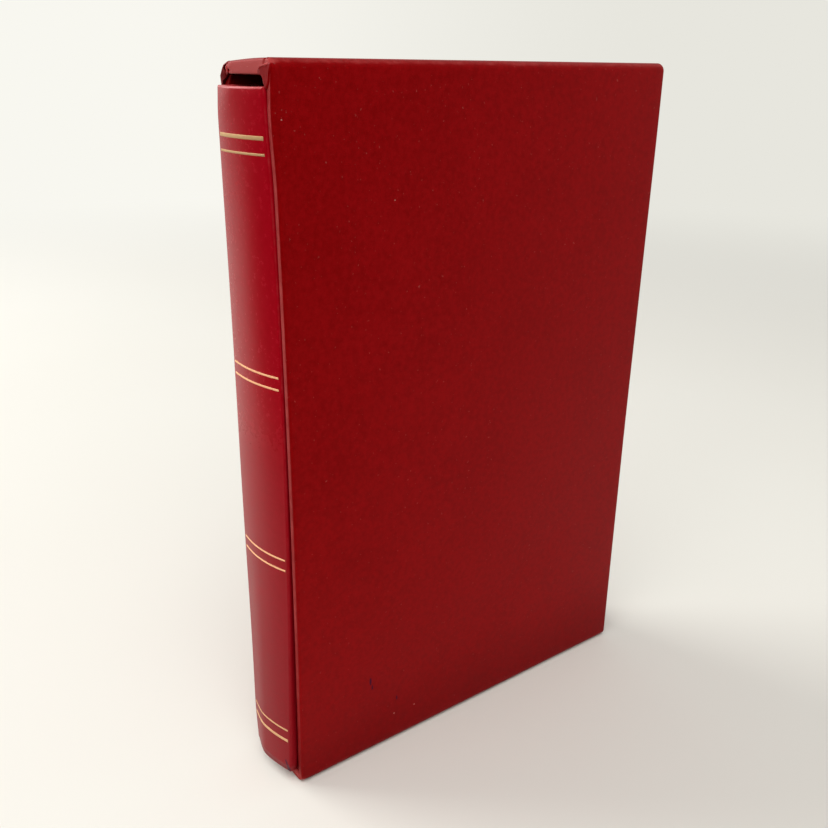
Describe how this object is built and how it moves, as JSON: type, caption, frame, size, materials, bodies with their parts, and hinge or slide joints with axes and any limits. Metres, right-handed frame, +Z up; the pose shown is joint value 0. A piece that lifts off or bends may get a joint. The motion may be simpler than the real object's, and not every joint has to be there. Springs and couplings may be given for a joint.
{
  "type": "stamp album in slipcase",
  "caption": "Stamp stock book with a rounded spine, stock leaves and clear strips, sliding in a tight leatherette-covered slipcase.",
  "frame": {"origin": "centre of the footprint of the whole object at rest, on the floor plane", "axes": "+Z up along the spine; the case's mouth and the album's spine face -Y; the thickness runs along X, with the front cover towards +X"},
  "size_m": [0.0364, 0.1736, 0.26],
  "materials": {
    "greyboard": "plain grey bookbinder's board",
    "case_leatherette": "deep red leatherette with a fine grain, satin",
    "album_leatherette": "crimson leatherette, smoother and glossier than the case",
    "lining_paper": "dark red matt lining paper",
    "gilt_foil": "hot-pressed gold foil",
    "endpaper": "cream endpaper",
    "linen": "black bookbinder's linen",
    "glassine": "translucent glassine",
    "stock_card": "black stock card",
    "clear_film": "clear polyester film"
  },
  "bodies": {
    "slipcase": {"case_left_board": "greyboard", "case_right_board": "greyboard", "case_back_board": "greyboard", "case_head_outer_flap": "greyboard", "case_head_inner_flap": "greyboard", "case_tail_outer_flap": "greyboard", "case_tail_inner_flap": "greyboard", "case_side_covering": "case_leatherette", "case_head_covering": "case_leatherette", "case_tail_covering": "case_leatherette", "case_side_lining": "lining_paper", "case_head_lining": "lining_paper", "case_tail_lining": "lining_paper"},
    "album": {"front_cover_board": "greyboard", "back_cover_board": "greyboard", "spine_card": "greyboard", "album_covering": "album_leatherette", "gold_rules": "gilt_foil", "front_endpaper": "endpaper", "back_endpaper": "endpaper", "spine_cloth": "linen", "leaf_guards": "linen", "glassine_interleaves": "glassine", "leaf_01": "stock_card", "leaf_02": "stock_card", "leaf_03": "stock_card", "leaf_04": "stock_card", "leaf_05": "stock_card", "leaf_06": "stock_card", "leaf_07": "stock_card", "leaf_08": "stock_card", "leaf_09": "stock_card", "leaf_10": "stock_card", "leaf_11": "stock_card", "leaf_12": "stock_card", "leaf_13": "stock_card", "leaf_14": "stock_card", "leaf_15": "stock_card", "leaf_16": "stock_card", "strips_01": "clear_film", "strips_02": "clear_film", "strips_03": "clear_film", "strips_04": "clear_film", "strips_05": "clear_film", "strips_06": "clear_film", "strips_07": "clear_film", "strips_08": "clear_film", "strips_09": "clear_film", "strips_10": "clear_film", "strips_11": "clear_film", "strips_12": "clear_film", "strips_13": "clear_film", "strips_14": "clear_film", "strips_15": "clear_film", "strips_16": "clear_film"}
  },
  "joints": [
    {"name": "album_slide", "type": "slide", "parent": "slipcase", "child": "album", "axis": [0, -1, 0], "range_m": [0, 0.18]}
  ]
}
